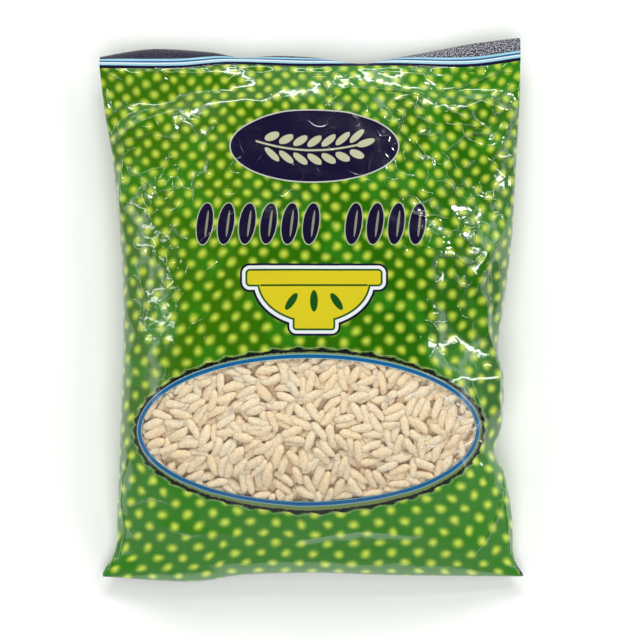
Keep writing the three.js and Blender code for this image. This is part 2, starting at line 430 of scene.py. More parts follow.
scatteredCreases = {
    "seed": 41,
    "count": 190,
    "across": (-96, 96),
    "along": (-122, 114),
    "length": (10.0, 30.0),
    "width": (1.2, 3.0),
    "rise": (0.15, 0.55),
    "bend": 0.02,
    "calmSpot": (72, -22, 22, 17, 0.85),      # its place, its reach both ways, and how calm
}


def crowding(cx, cy):
    # They crowd towards the top right, where the bag is least full, and away from the middle.
    x, y, across, along, calm = scatteredCreases["calmSpot"]
    crowd = 0.35 + 0.5 * smooth(0, 90, cy) + 0.35 * smooth(20, 80, cx) * smooth(-30, 60, cy)
    crowd *= 0.45 + 0.55 * smooth(30, 60, abs(cx))
    return float(crowd * (1 - calm * math.exp(-((cx - x) / across) ** 2 - ((cy - y) / along) ** 2)))


def smallCreases(x, y, setup):
    # Short random folds.
    draw = random.Random(setup["seed"])
    height = np.zeros(x.shape)
    for _ in range(setup["count"]):
        cx = draw.uniform(*setup["across"])
        cy = draw.uniform(*setup["along"])
        turn = draw.uniform(0, math.pi)
        length = draw.uniform(*setup["length"])
        width = draw.uniform(*setup["width"])
        rise = draw.uniform(*setup["rise"]) * draw.choice((-1, 1, 1)) * crowding(cx, cy)
        bend = draw.uniform(-setup["bend"], setup["bend"])
        near = (np.abs(x - cx) < length + 5) & (np.abs(y - cy) < length + 5)
        along = (x[near] - cx) * math.cos(turn) + (y[near] - cy) * math.sin(turn)
        away = (y[near] - cy) * math.cos(turn) - (x[near] - cx) * math.sin(turn)
        away = np.abs(away - bend * along ** 2)
        height[near] += rise * np.exp(-away / width - (along / (0.5 * length)) ** 4)
    return height


# Soft undulations, each its height, seed and spacing.
rolls = {
    "wide": (0.45, 3, 46),
    "narrow": (0.16, 8, 15),
    "seal": (0.35, 21, 22),
    "waves": 14,                  # in random directions, in each undulation
}


def rolling(x, y, name):
    rise, seed, spacing = rolls[name]
    draw = random.Random(seed)
    total = np.zeros(x.shape)
    for _ in range(rolls["waves"]):
        turn = draw.uniform(0, 2 * math.pi)
        pace = 2 * math.pi / (spacing * draw.uniform(0.7, 1.5))
        phase = draw.uniform(0, 2 * math.pi)
        total += np.cos(pace * (x * math.cos(turn) + y * math.sin(turn)) + phase)
    return rise * (total / math.sqrt(rolls["waves"]))


# The folds that the film gathers into: each its pace, its height and its reach, which is from the
# seal or, as a share of the half width, from the side.
gathers = {
    "underSeal": (5.3, 0.9, 9),
    "underSealWide": (11.0, 1.6, 22),
    "sides": (9.0, 1.5, 0.07),
    "sealFree": 3,                # how far below the seal line they have their full height
}


def sealPuckers(x, y):
    below = np.clip(curveThrough(bag["sealLine"], x) - y, 0, None)
    pace, rise, reach = gathers["underSeal"]
    folds = np.abs(np.sin(x / pace + 0.8 * np.sin(x / 13.0) + below / 60))
    tight = rise * (0.5 - folds) * np.exp(-below / reach)
    pace, rise, reach = gathers["underSealWide"]
    folds = np.abs(np.sin(x / pace + 1.3 + 0.5 * np.sin(x / 29.0)))
    wide = rise * (0.5 - folds) * np.exp(-below / reach)
    return smooth(0, gathers["sealFree"], below) * (tight + wide)


def sideGathers(across, y):
    pace, rise, reach = gathers["sides"]
    side = np.where(across < 0, 0.0, 2.1)      # so that the two sides differ
    folds = np.abs(np.sin(y / pace + side + 0.9 * np.sin(y / 21.0 + side)))
    edge = 1 - np.abs(across)
    return rise * (0.5 - folds) * np.exp(-edge / reach) * smooth(0, 0.012, edge)


def shapedNet():
    points, across, front, body, band = restNet()
    x, y = points[..., 0], points[..., 1]
    onBody = band <= 0
    inWindow = np.hypot((x - window["x"]) / window["halfWidth"],
                        (y - window["y"]) / window["halfHeight"])
    calm = 0.35 + 0.65 * smooth(0.9, 1.15, inWindow)      # the grains hold the film here
    height = (namedCreases(x, y) + dents(x, y)) * np.where(front, 1, 0.15)
    height += smallCreases(x, y, scatteredCreases) * calm
    height += rolling(x, y, "wide") * calm
    height += rolling(x, y, "narrow") * calm
    height += sealPuckers(x, y)
    height += sideGathers(across, y)
    fold = smooth(0, 0.03, body)
    edge = smooth(0, 0.035, 1 - np.abs(across))
    top = smooth(1.0, 0.985, body)
    height = height * fold * edge * top * onBody
    shaped = points + netNormals(points) * height[..., None]
    shaped[..., 2] += np.where(band > 0, rolling(x, y, "seal") * smooth(0, 0.4, band), 0)
    lowest = np.where(front, bag["frontLowest"], bag["bellyHeight"])
    shaped[..., 2] = np.maximum(shaped[..., 2], lowest)
    # the first and last columns meet at the middle of the back
    shaped[:, 0] = (shaped[:, 0] + shaped[:, -1]) / 2
    shaped[:, -1] = shaped[:, 0]
    crest = crestLines(x, y) * np.where(front & onBody, 1.0, 0.0)[..., None]
    return {"rest": points, "shaped": shaped, "flat": flatCoordinates(points), "crest": crest}


film = shapedNet()
print("film net shaped,", (rows + 1) * (columns + 1), "points")


def onNet(values, c, r):
    # Reads the net's values between its points.
    c = np.clip(c, 0, columns)
    r = np.clip(r, 0, rows)
    c0 = np.minimum(c.astype(int), columns - 1)
    r0 = np.minimum(r.astype(int), rows - 1)
    fc = (c - c0)[:, None]
    fr = (r - r0)[:, None]
    low = values[r0, c0] * (1 - fc) + values[r0, c0 + 1] * fc
    high = values[r0 + 1, c0] * (1 - fc) + values[r0 + 1, c0 + 1] * fc
    return low * (1 - fr) + high * fr


def netPlace(x, y):
    # The front film's column and row at a place seen from above.
    share, middle, half = shareAt(x, y)
    even = np.interp((x - middle) / half, acrossOf, evenly)
    return net["back"] / 2 + (even + 1) / 2 * net["front"], rowOfShare(share)


def cutOval(bm):
    # Cuts the flat net along the window, one short chord at a time. Only the net's squares
    # that a chord passes are cut by it.
    turns = [2 * math.pi * i / window["chords"] for i in range(window["chords"])]
    x = np.array([window["x"] + window["halfWidth"] * math.cos(turn) for turn in turns])
    y = np.array([window["y"] + window["halfHeight"] * math.sin(turn) for turn in turns])
    corners = [Vector((float(c), float(r), 0)) for c, r in zip(*netPlace(x, y))]
    squares = {}

    def keep(face):
        centre = face.calc_center_median()
        squares.setdefault((int(centre.x), int(centre.y)), set()).add(face)

    for face in bm.faces:
        keep(face)
    for start, end in zip(corners, corners[1:] + corners[:1]):
        acrossRange = range(int(min(start.x, end.x) - 0.02), int(max(start.x, end.x) + 0.02) + 1)
        alongRange = range(int(min(start.y, end.y) - 0.02), int(max(start.y, end.y) + 0.02) + 1)
        near = set()
        for i in acrossRange:
            for j in alongRange:
                near |= squares.pop((i, j), set())
        cut = set(near)
        for face in near:
            cut.update(face.verts)
            cut.update(face.edges)
        run = end - start
        sideways = Vector((run.y, -run.x, 0)).normalized()
        result = bmesh.ops.bisect_plane(bm, geom=list(cut), dist=1e-4, plane_co=start,
                                        plane_no=sideways)
        for item in result["geom"]:
            if isinstance(item, bmesh.types.BMFace):
                keep(item)


def meshFrom(bm, name):
    mesh = bpy.data.meshes.new(name)
    bm.to_mesh(mesh)
    bm.free()
    return mesh


def addUv(mesh, name, values):
    corner = np.zeros(len(mesh.loops), int)
    mesh.loops.foreach_get("vertex_index", corner)
    layer = mesh.uv_layers.new(name=name)
    layer.data.foreach_set("uv", values[corner].ravel())


def markPoints(mesh, name, values):
    mark = mesh.attributes.new(name, "FLOAT", "POINT")
    mark.data.foreach_set("value", values)


def vectorsOf(mesh, what):
    values = np.zeros(len(mesh.vertices) * 3)
    mesh.vertices.foreach_get(what, values)
    return values.reshape(-1, 3)


def addPiece(name, mesh, material):
    mesh.polygons.foreach_set("use_smooth", [True] * len(mesh.polygons))
    mesh.update()
    piece = bpy.data.objects.new(name, mesh)
    bpy.context.scene.collection.objects.link(piece)
    mesh.materials.append(material)
    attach(piece, "root")
    return piece


def layOnNet(mesh):
    # The mesh is in the net's columns and rows. This puts it in its place on the bag. Its UV
    # maps, in millimetres, are the front as it is seen, the flat film and the thin crests.
    c, r, _ = vectorsOf(mesh, "co").T
    addUv(mesh, "seen", onNet(film["rest"], c, r)[:, :2])
    addUv(mesh, "flat", onNet(film["flat"], c, r))
    addUv(mesh, "crest", onNet(film["crest"], c, r))
    mesh.vertices.foreach_set("co", (onNet(film["shaped"], c, r) * mm).ravel())


def closeSeam(mesh):
    bm = bmesh.new()
    bm.from_mesh(mesh)
    bmesh.ops.remove_doubles(bm, verts=bm.verts, dist=0.001 * mm)
    bm.to_mesh(mesh)
    bm.free()


def makeFilm(printMaterial, clearMaterial, sealMaterial):
    bm = bmesh.new()
    bmesh.ops.create_grid(bm, x_segments=columns, y_segments=rows, size=0.5)
    for vert in bm.verts:
        vert.co.x = round((vert.co.x + 0.5) * columns)
        vert.co.y = round((vert.co.y + 0.5) * rows)
    cutOval(bm)
    bmesh.ops.triangulate(bm, faces=[f for f in bm.faces if len(f.verts) > 4])
    centres = np.array([f.calc_center_median()[:2] for f in bm.faces])
    half = net["back"] / 2
    seen = onNet(film["rest"], centres[:, 0], centres[:, 1])
    inWindow = np.hypot((seen[:, 0] - window["x"]) / window["halfWidth"],
                        (seen[:, 1] - window["y"]) / window["halfHeight"])
    isClear = (inWindow < 1) & (centres[:, 0] > half) & (centres[:, 0] < columns - half)
    isSeal = centres[:, 1] > net["body"]
    pieces = []
    for name, keep, material in (("printed_film", ~isClear & ~isSeal, printMaterial),
                                 ("window_film", isClear, clearMaterial),
                                 ("top_seal", isSeal, sealMaterial)):
        part = bm.copy()
        part.faces.ensure_lookup_table()
        gone = [part.faces[i] for i in np.nonzero(~keep)[0]]
        bmesh.ops.delete(part, geom=gone, context="FACES")
        mesh = meshFrom(part, name)
        layOnNet(mesh)
        closeSeam(mesh)
        pieces.append(addPiece(name, mesh, material))
    bm.free()
    return pieces


def colour(r, g, b):
    # From a screen colour, 0 to 255, to a linear one.
    def linear(v):
        v = v / 255
        return v / 12.92 if v <= 0.04045 else ((v + 0.055) / 1.055) ** 2.4
    return (linear(r), linear(g), linear(b), 1.0)


class Field:
    # A number, place or colour that varies over a surface. Sums on it become Math nodes.
    def __init__(self, socket):
        self.socket = socket
        self.tree = socket.id_data

    def __add__(self, other):
        return calc("ADD", self, other)

    def __sub__(self, other):
        return calc("SUBTRACT", self, other)

    def __rsub__(self, other):
        return calc("SUBTRACT", other, self)

    def __mul__(self, other):
        return calc("MULTIPLY", self, other)

    def __truediv__(self, other):
        return calc("DIVIDE", self, other)

    def __pow__(self, other):
        return calc("POWER", self, other)

    def __abs__(self):
        return calc("ABSOLUTE", self)


def feed(socket, value):
    if isinstance(value, Field):
        value.tree.links.new(value.socket, socket)
    else:
        socket.default_value = value


def addNode(tree, kind, output, inputs, **settings):
    node = tree.nodes.new("ShaderNode" + kind)
    for name, value in settings.items():
        setattr(node, name, value)
    for name, value in inputs.items():
        feed(node.inputs[name], value)
    return Field(node.outputs[output])


def calc(operation, *values):
    tree = next(value.tree for value in values if isinstance(value, Field))
    return addNode(tree, "Math", 0, dict(enumerate(values)), operation=operation)


def both(a, b):
    return calc("MINIMUM", a, b)


def either(a, b):
    return calc("MAXIMUM", a, b)


def length(a, b):
    return calc("SQRT", a * a + b * b)


def turned(x, y, angle):
    return x * math.cos(angle) + y * math.sin(angle), y * math.cos(angle) - x * math.sin(angle)


def nearestOf(value, low, high):
    # The nearest whole number from low to high.
    return both(either(calc("ROUND", value), low), high)


def ramp(value, low, high, kind="SMOOTHSTEP"):
    # 0 at low, 1 at high
    inputs = {"Value": value, "From Min": low, "From Max": high}
    return addNode(value.tree, "MapRange", "Result", inputs, interpolation_type=kind)


def partly(value, low, high, share):
    # 1 less this share at low, and 1 at high
    return ramp(value, low, high) * share + (1 - share)


def inside(distance, soft=0.12):
    # 1 where a signed distance is below nothing
    return ramp(distance, soft, -soft, "LINEAR")


def stripe(value, low, high):
    return inside(abs(value - (low + high) / 2) - (high - low) / 2)


def oval(x, y, cx, cy, rx, ry):
    # Distance to an oval's edge, exact near the edge, negative inside.
    ax = (x - cx) / rx
    ay = (y - cy) / ry
    slope = length(ax / rx, ay / ry) * 2.0
    return (ax * ax + ay * ay - 1.0) / either(slope, 0.02)


def bar(x, y, cx, cy, halfWidth, halfHeight, corner):
    # Distance to a bar with round corners.
    dx = abs(x - cx) - (halfWidth - corner)
    dy = abs(y - cy) - (halfHeight - corner)
    return length(either(dx, 0.0), either(dy, 0.0)) + both(either(dx, dy), 0.0) - corner


def noiseAt(place, scale, detail=2.0, roughness=0.5):
    inputs = {"Vector": place, "Scale": scale, "Detail": detail, "Roughness": roughness}
    return addNode(place.tree, "TexNoise", "Fac", inputs)


def mix(factor, under, over):
    return addNode(factor.tree, "Mix", 2, {0: factor, 6: under, 7: over}, data_type="RGBA")


def uv(tree, name):
    return addNode(tree, "UVMap", "UV", {}, uv_map=name)


def marked(tree, name):
    return addNode(tree, "Attribute", "Fac", {}, attribute_name=name)


def parts(place):
    node = place.tree.nodes.new("ShaderNodeSeparateXYZ")
    feed(node.inputs[0], place)
    return [Field(output) for output in node.outputs]


def joined(x, y):
    return addNode(x.tree, "CombineXYZ", 0, {0: x, 1: y})


def moved(place, x, y):
    return addNode(place.tree, "Mapping", 0, {"Vector": place, "Location": (x, y, 0)})


def bump(height, distance):
    return addNode(height.tree, "Bump", 0, {"Strength": 1.0, "Distance": distance, "Height": height})


def newMaterial(name, finish):
    material = bpy.data.materials.new(name)
    material.use_nodes = True
    shader = material.node_tree.nodes["Principled BSDF"]
    for socket, value in finish.items():
        shader.inputs[socket].default_value = value
    return material, material.node_tree, shader


ink = {
    "green": colour(28, 98, 0),
    "paleGreen": colour(56, 110, 0),
    "paintedSheenGreen": colour(48, 128, 18),
    # painted reflection: the green of a milky sheen of the lamps on the film
    "dot": colour(190, 212, 68),
    "paleDot": colour(212, 236, 78),
    "navy": colour(20, 15, 46),
    "black": colour(22, 20, 28),
    "cream": colour(188, 188, 156),
    "olive": colour(112, 132, 74),
    "blue": colour(17, 94, 144),
    "paleBlue": colour(150, 196, 212),
    "white": colour(228, 232, 232),
    "silver": colour(206, 206, 214),
    "badgeLine": colour(196, 200, 190),
    "ornamentLine": colour(176, 190, 150),
    "yellow": colour(212, 196, 34),
    "darkGreen": colour(22, 80, 24),
}

dots = {
    "from": (0.0, 550.0),         # the rows of dots fan out from here
    "sealAt": 115.0,              # and the seal line is here
    "period": 0.01826,            # of a row's distance from there
    "stray": (0.11, 0.13, 0.22),  # the scales of the wandering both ways, and how far
    "mottle": (0.9, 3.0, 0.05),
    "growth": (500.0, 0.6),       # the distance at which a dot has its size, and a power
    "radius": 0.37,
    "falloff": 1.3,
    "paleFrom": (-140.0, -190.0),
}

# Where the ground is yellower, and where it is paler with a painted reflection: a milky sheen of the
# lamps on the film. Patches are a noise's scale, from and to in it, and strength, and the rest are
# distances on the flat film.
grounds = {
    "yellowPatches": (0.03, 0.3, 0.7, 0.5),
    "yellowLeft": (20.0, -80.0),
    "paintedSheenPatches": (0.045, 0.52, 0.62, 0.6),
    "paintedSheenUnderSeal": (-16.0, -8.0),
    "paintedSheenRight": (-40.0, 20.0),
    "paintedSheenLow": (-168.0, -205.0),
}


def patches(place, name, detail=2.0):
    scale, low, high, strength = grounds[name]
    return ramp(noiseAt(place, scale, detail), low, high) * strength


def dottedGreen(flat):
    # Soft yellow-green dots in a quincunx that widens towards the bottom of the bag.
    a, b, _ = parts(flat)
    dx = a - dots["from"][0]
    dy = dots["from"][1] - (b + dots["sealAt"])
    away = length(dx, dy)
    scaleAcross, scaleDown, reach = dots["stray"]
    stray = noiseAt(flat, scaleAcross, 1.0)
    across = calc("ARCTAN2", dx, dy) / dots["period"] + (stray - 0.5) * reach
    down = calc("LOGARITHM", away, math.e) / dots["period"]
    down = down + (noiseAt(flat, scaleDown, 1.0) - 0.5) * reach

    def toDot(shift):
        u = across + shift
        v = down + shift
        return length(u - calc("ROUND", u), v - calc("ROUND", v))

    scale, detail, rough = dots["mottle"]
    grownAt, power = dots["growth"]
    spread = both(toDot(0.0), toDot(0.5)) + (noiseAt(flat, scale, detail) - 0.5) * rough
    spread = spread * (away / grownAt) ** power
    yellower = patches(flat, "yellowPatches") + ramp(a, *grounds["yellowLeft"])
    ground = mix(yellower, ink["green"], ink["paleGreen"])
    # painted reflection: a milky sheen under the seal towards the right, at the bottom and in patches
    underSeal = ramp(b + stray * 9.0, *grounds["paintedSheenUnderSeal"]) * ramp(a, *grounds["paintedSheenRight"])
    paintedSheen = either(underSeal * 0.8, ramp(b, *grounds["paintedSheenLow"]))
    paintedSheen = either(patches(flat, "paintedSheenPatches", 1.0), paintedSheen)
    ground = mix(paintedSheen, ground, ink["paintedSheenGreen"])
    dot = mix(ramp(b, *dots["paleFrom"]), ink["dot"], ink["paleDot"])
    return mix(ramp(spread, dots["radius"], 0.0) ** dots["falloff"], ground, dot)


rings = {
    "blue": (0.2, 1.85),          # out from the clear oval
    "paleBlue": 2.1,
    "dark": (-0.4, -56.3, 81.7, 37.9),
    "darkHalf": 1.0,
    "scallops": 23.0,             # over a turn of two pi, from each side
    "brush": 22.0,                # the pace of the ragged edges, over the same turn
    "outerEdge": (1.0, 3.0, 0.6),
    "innerEdge": (2.6, 3.0, 0.6),
    "raggedness": 2.0,
    "oliveTo": 0.3,
    "halo": (0.75, 0.17),         # the thin outer line's distance from the dark ring and half width
}


def windowRings(x, y, under):
    clear = oval(x, y, window["x"], window["y"], window["halfWidth"], window["halfHeight"])
    cx, cy, rx, ry = rings["dark"]
    half = rings["darkHalf"]
    ring = oval(x, y, cx, cy, rx, ry)
    turn = calc("ARCTAN2", (y - cy) / ry, (x - cx) / rx)
    place = joined(turn * rings["brush"], ring * 0.5)
    wave = abs(calc("SINE", turn * rings["scallops"]))
    outer = (noiseAt(place, *rings["outerEdge"]) - 0.5) * rings["raggedness"] - wave
    inner = (noiseAt(place, *rings["innerEdge"]) - 0.5) * rings["raggedness"]
    # the olive band between the two rings, then the thin pale line outside the dark one
    under = mix(inside(ring - rings["oliveTo"]), under, ink["olive"])
    haloAt, haloHalf = rings["halo"]
    halo = inside(abs(ring - outer - (half + haloAt)) - haloHalf)
    under = mix(halo * 0.5, under, ink["cream"])
    dark = both(inside(ring - outer - half), inside((ring + half) * -1.0 - inner))
    under = mix(dark, under, ink["black"])
    under = mix(inside(clear - rings["paleBlue"]), under, ink["paleBlue"])
    return mix(stripe(clear, *rings["blue"]), under, ink["blue"])


badgePlan = {
    "oval": (1.8, 76.7, 39.2, 16.7),
    "line": 0.55,
    "spacing": 6.6,               # from one pair of grains to the next
    "pairs": 3,                   # on each side of the middle one
    "lean": math.radians(34),
    "grain": (4.0, 1.7),
    "aside": 4.2,                 # a grain's distance from the stem
    "tip": (24.0, 0.0, 4.2, 1.7),
    "stem": (-3.5, 0.0, 24.0, 0.45, 0.4),
    "bend": (0.006, 2.0),
}


def sprig(x, y, cx, cy):
    # An ear of rice: grains in pairs along a bent stem.
    plan = badgePlan
    bend, sag = plan["bend"]
    dx = x - cx
    dy = y - cy - (dx * dx * bend - sag)
    along = dx - nearestOf(dx / plan["spacing"], -plan["pairs"], plan["pairs"]) * plan["spacing"]
    pair = oval(*turned(along, abs(dy) - plan["aside"], plan["lean"]), 0.0, 0.0, *plan["grain"])
    return both(both(pair, oval(dx, dy, *plan["tip"])), bar(dx, dy, *plan["stem"]))


def badge(x, y, under):
    cx, cy, rx, ry = badgePlan["oval"]
    edge = oval(x, y, cx, cy, rx, ry)
    under = mix(inside(edge - badgePlan["line"]), under, ink["badgeLine"])
    under = mix(inside(edge), under, ink["navy"])
    return mix(inside(sprig(x, y, cx, cy)), under, ink["cream"])


ornamentPlan = {
    "y": 40.2,
    "first": -49.2,
    "period": 9.9,
    "last": 10,
    "gap": 6,                     # the place that stays bare
    "grain": (3.75, 9.6),
    "groove": (0.9, 0.0, 0.55, 6.2),
    "lean": 0.12,
    "line": 0.42,
}


def ornaments(x, y, under):
    # Two groups of upright grains, six and four, with a gap between them.
    plan = ornamentPlan
    step = (x - plan["first"]) / plan["period"]
    index = nearestOf(step, 0.0, plan["last"])
    bare = calc("COMPARE", index, plan["gap"], 0.4)
    dy = y - plan["y"]
    lean = (step - index) * plan["period"] - dy * plan["lean"]
    edge = oval(lean, dy, 0.0, 0.0, *plan["grain"]) + bare * 50.0
    groove = both(inside(oval(lean, dy, *plan["groove"])), inside(edge))
    under = mix(inside(edge - plan["line"]), under, ink["ornamentLine"])
    under = mix(inside(edge), under, ink["navy"])
    return mix(groove * 0.5, under, ink["cream"])


plaquePlan = {
    "middle": (1.6, 5.5),
    "layers": ((3.4, "navy"), (2.4, "white"), (0.9, "darkGreen"), (0.0, "yellow")),
    "rim": (9.6, 31.0, 3.2, 1.2),             # height, half width, half height and corner
    "rimLine": (6.1, 25.0, 0.45, 0.4),
    "foot": (-11.6, 9.0, 2.4, 0.8),
    "body": (8.0, 25.5, 18.5),
    "grains": (10.5, -1.5, 1.7, 4.6),         # aside, height and half sizes of the leaning pair
    "middleGrain": (-1.2, 1.8, 5.0),
    "lean": math.radians(34.8),
}


def plaque(x, y, under):
    # A bowl: rim, body and foot, with a border and three grains on its side.
    cx, cy = plaquePlan["middle"]

    def across(name):
        up, *sizes = plaquePlan[name]
        return bar(x, y, cx, cy + up, *sizes)

    up, rx, ry = plaquePlan["body"]
    body = either(oval(x, y, cx, cy + up, rx, ry), y - (cy + up))
    bowl = both(both(across("rim"), body), across("foot"))
    for grow, tint in plaquePlan["layers"]:
        under = mix(inside(bowl - grow), under, ink[tint])
    under = mix(inside(across("rimLine")), under, ink["darkGreen"])
    aside, up, rx, ry = plaquePlan["grains"]
    pair = oval(*turned(abs(x - cx) - aside, y - (cy + up), plaquePlan["lean"]), 0.0, 0.0, rx, ry)
    up, rx, ry = plaquePlan["middleGrain"]
    middle = oval(x, y, cx, cy + up, rx, ry)
    return mix(inside(both(pair, middle)), under, ink["darkGreen"])


relief = {
    "waves": (0.12, 2.0, 0.45, 0.3),          # scale, detail, roughness and height in mm
    "crest": 0.95,
    "crestWidth": (0.9, 0.3),     # for each millimetre of its height, and at least
    "crestStray": (0.3, 1.6),     # a noise's scale and how far it pushes a crest aside
    "towardsSeal": (-155.0, -60.0, 0.85),     # where the long folds grow, and by how much
    "towardsSides": (20.0, 60.0, 0.7),
    "longFolds": ((0.04, 0.02, 0.0, 0.36), (0.07, 0.03, 63.0, 0.24), (0.12, 0.05, 17.0, 0.12)),
}


def longFolds(flat, scale, width, shift, rise):
    # Thin crests that wander along the contour lines of a noise, here and there.
    place = moved(flat, shift, shift * 0.7)
    level = abs(noiseAt(place, scale, 1.0, 0.4) - 0.5)
    here = ramp(noiseAt(place, 0.05, 1.0), 0.5, 0.6)
    return ramp(level, width, 0.0) * here * rise


def crests(flat):
    # The creases' thin crests: how near the middle of one, and its height.
    signed, height, _ = parts(uv(flat.tree, "crest"))
    scale, reach = relief["crestStray"]
    wider, least = relief["crestWidth"]
    stray = (noiseAt(flat, scale) - 0.5) * reach
    flank = 1.0 - abs(signed + stray) / (height * wider + least)
    return ramp(flank, 0.0, 1.0) * (height * relief["crest"])


def filmRelief(flat):
    # Soft waves, the creases' crests and long folds between them, most near the seal and the sides.
    a, b, _ = parts(flat)
    scale, detail, roughness, rise = relief["waves"]
    waves = noiseAt(flat, scale, detail, roughness) * rise
    grown = partly(b, *relief["towardsSeal"]) * partly(abs(a), *relief["towardsSides"])
    wide, middle, fine = [longFolds(flat, *fold) for fold in relief["longFolds"]]
    return waves + crests(flat) + (wide + middle + fine) * grown


printFinish = {"Roughness": 0.32, "IOR": 1.2, "Coat Weight": 1.0, "Coat Roughness": 0.09, "Coat IOR": 1.9}
cornerPlan = {"edge": 96.5, "foot": -119.0, "slope": 0.4375, "top": -118.5, "sealFoot": -0.5}


def makePrintMaterial():
    material, tree, shader = newMaterial("printed film", printFinish)
    flat = uv(tree, "flat")
    x, y, _ = parts(uv(tree, "seen"))
    b = parts(flat)[1]
    ground = dottedGreen(flat)
    front = ground
    for layer in (windowRings, badge, ornaments, plaque):
        front = layer(x, y, front)
    # the bottom seal's corner, which shows at the lower right
    plan = cornerPlan
    corner = inside(plan["edge"] - (y - plan["foot"]) * plan["slope"] - x)
    front = mix(both(corner, inside(y - plan["top"])), front, ink["navy"])
    # the back has the ground alone
    tone = mix(marked(tree, "onFront"), ground, front)
    tone = mix(inside(plan["sealFoot"] - b), tone, ink["navy"])      # the foot of the seal's dark line
    feed(shader.inputs["Base Color"], tone)
    normal = bump(filmRelief(flat), mm)
    feed(shader.inputs["Normal"], normal)
    feed(shader.inputs["Coat Normal"], normal)
    return material


sealFinish = {"Roughness": 0.45, "IOR": 1.2, "Coat Weight": 0.5, "Coat Roughness": 0.16, "Coat IOR": 1.35}
sealPlan = {
    # from the seal line up, after a dark line and below the dark crimped band
    "stripes": ((1.0, 1.9, "paleBlue"), (1.9, 2.5, "white"), (2.5, 3.3, "blue"), (3.3, 4.4, "paleBlue")),
    "band": (4.0, 4.8),           # where the crimped band begins
    "pace": 2.88,                 # of its diamonds, in radians a millimetre
    "depth": 0.35 * mm,
    "pressed": (-50.0, 70.0, 0.65),           # across the bag, and by how much
    "specks": (1.3, 2.0, 0.7),
    "speckled": (-45.0, 75.0, 0.85, 0.05),
    "speckBand": (4.2, 4.8),
}


def sealTone(flat, x):
    b = parts(flat)[1]
    tone = ink["navy"]
    for low, high, tint in sealPlan["stripes"]:
        tone = mix(stripe(b, low, high), tone, ink[tint])
    # the crimped band is pale silver in specks, mostly towards its right end
    left, right, more, least = sealPlan["speckled"]
    specks = ramp(noiseAt(flat, *sealPlan["specks"]), 0.44, 0.62)
    speckled = (ramp(x, left, right) * more + least) * ramp(b, *sealPlan["speckBand"])
    return mix(specks * speckled, tone, ink["silver"])


def crimp(flat, x):
    # Small diamonds pressed into the seal.
    a, b, _ = parts(flat)
    ridge = calc("SINE", (a + b) * sealPlan["pace"])
    crossing = calc("SINE", (a - b) * sealPlan["pace"])
    return either(ridge, crossing) * partly(x, *sealPlan["pressed"]) * ramp(b, *sealPlan["band"])


def makeSealMaterial():
    material, tree, shader = newMaterial("crimped seal", sealFinish)
    flat = uv(tree, "flat")
    x = parts(uv(tree, "seen"))[0]
    feed(shader.inputs["Base Color"], sealTone(flat, x))
    normal = bump(crimp(flat, x), sealPlan["depth"])
    feed(shader.inputs["Normal"], normal)
    feed(shader.inputs["Coat Normal"], normal)
    return material


clearFilm = {
    "finish": {"Roughness": 0.12, "IOR": 3.2},
    "tint": (0.85, 0.78, 0.68, 1),
    "opacity": 0.09,
    "whiteningAndGlints": 1.2,              # how much the creases whiten it, partly a painted highlight of their glints
}


def makeClearMaterial():
    material, tree, shader = newMaterial("clear film", clearFilm["finish"])
    flat = uv(tree, "flat")
    # the crests are whitened and more opaque: partly the whitening of creased film, partly a painted
    # highlight of their glints
    broken = ramp(noiseAt(flat, 0.5), 0.4, 0.6)
    creaseWhiteningAndGlints = crests(flat) * broken * clearFilm["whiteningAndGlints"]
    feed(shader.inputs["Alpha"], creaseWhiteningAndGlints + clearFilm["opacity"])
    feed(shader.inputs["Base Color"], mix(creaseWhiteningAndGlints, clearFilm["tint"], (1, 1, 1, 1)))
    feed(shader.inputs["Normal"], bump(filmRelief(flat), mm))
    return material


riceLook = {
    "warm": colour(255, 229, 190),
    "pale": colour(255, 239, 207),
    "speck": colour(236, 198, 152),
    "specks": (1300.0, 0.45, 0.62, 0.55),     # scale, from and to in the noise, and strength
    "pits": (700.0, 3.0, 0.65, 0.0012),       # scale, detail, roughness and depth in metres
    "finish": {
        "Roughness": 0.75,
        "Subsurface Weight": 0.5,
        "Subsurface Radius": (1.0, 1.0, 1.0),
        "Subsurface Scale": 0.002,
    },
}


def makeRiceMaterial():
    material, tree, shader = newMaterial("puffed rice", riceLook["finish"])
    place = addNode(tree, "TexCoord", "Object", {})
    scale, low, high, strength = riceLook["specks"]
    specks = ramp(noiseAt(place, scale), low, high) * strength
    shade = mix(marked(tree, "tone"), riceLook["warm"], riceLook["pale"])
    feed(shader.inputs["Base Color"], mix(specks, shade, riceLook["speck"]))
    scale, detail, roughness, depth = riceLook["pits"]
    feed(shader.inputs["Normal"], bump(noiseAt(place, scale, detail, roughness), depth))
    return material


printMaterial = makePrintMaterial()
clearMaterial = makeClearMaterial()
sealMaterial = makeSealMaterial()
riceMaterial = makeRiceMaterial()
printedFilm, windowFilm, topSeal = makeFilm(printMaterial, clearMaterial, sealMaterial)
facingUp = vectorsOf(printedFilm.data, "normal")[:, 2] > 0
markPoints(printedFilm.data, "onFront", facingUp.astype(float))
print("film made,", len(printedFilm.data.polygons), "and", len(windowFilm.data.polygons), "faces")

